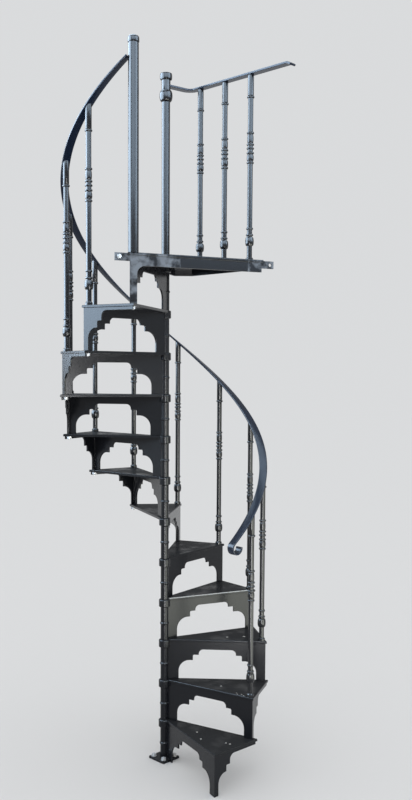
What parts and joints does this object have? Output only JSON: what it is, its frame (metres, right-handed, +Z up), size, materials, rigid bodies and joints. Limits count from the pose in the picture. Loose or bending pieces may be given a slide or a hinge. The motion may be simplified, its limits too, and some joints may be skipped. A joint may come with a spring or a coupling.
{
  "type": "spiral staircase",
  "caption": "Cast-iron spiral staircase: wedge treads with arched risers on a centre pole, turned balusters, flat-bar handrail, landing and post.",
  "frame": {"origin": "centre of the base plate's underside, on the axis of the centre pole", "axes": "+Z up along the centre pole; -Y square out of the landing's straight outer edge; the stair climbs anticlockwise seen from above"},
  "size_m": [1.0183, 1.0767, 3.3266],
  "materials": {
    "casting": "gloss black paint over cast iron, scuffed",
    "column": "gloss black paint over cast iron",
    "baluster": "gloss black paint over turned castings",
    "handrail": "gloss black paint over flat bar",
    "post": "gloss black paint over tube"
  },
  "bodies": {
    "root": {"baluster_02": "baluster", "baluster_03": "baluster", "baluster_04": "baluster", "baluster_05": "baluster", "baluster_06": "baluster", "baluster_07": "baluster", "baluster_08": "baluster", "baluster_09": "baluster", "baluster_10": "baluster", "baluster_11": "baluster", "base_plate": "casting", "centre_pole": "column", "handrail_lower": "handrail", "handrail_middle": "handrail", "handrail_upper": "handrail", "landing": "casting", "landing_baluster_1": "baluster", "landing_baluster_2": "baluster", "landing_baluster_3": "baluster", "landing_post": "post", "landing_post_cap": "post", "landing_rail": "handrail", "newel_head": "column", "newel_tube": "column", "tread_01": "casting", "tread_02": "casting", "tread_03": "casting", "tread_04": "casting", "tread_05": "casting", "tread_06": "casting", "tread_07": "casting", "tread_08": "casting", "tread_09": "casting", "tread_10": "casting", "tread_11": "casting"}
  },
  "joints": []
}
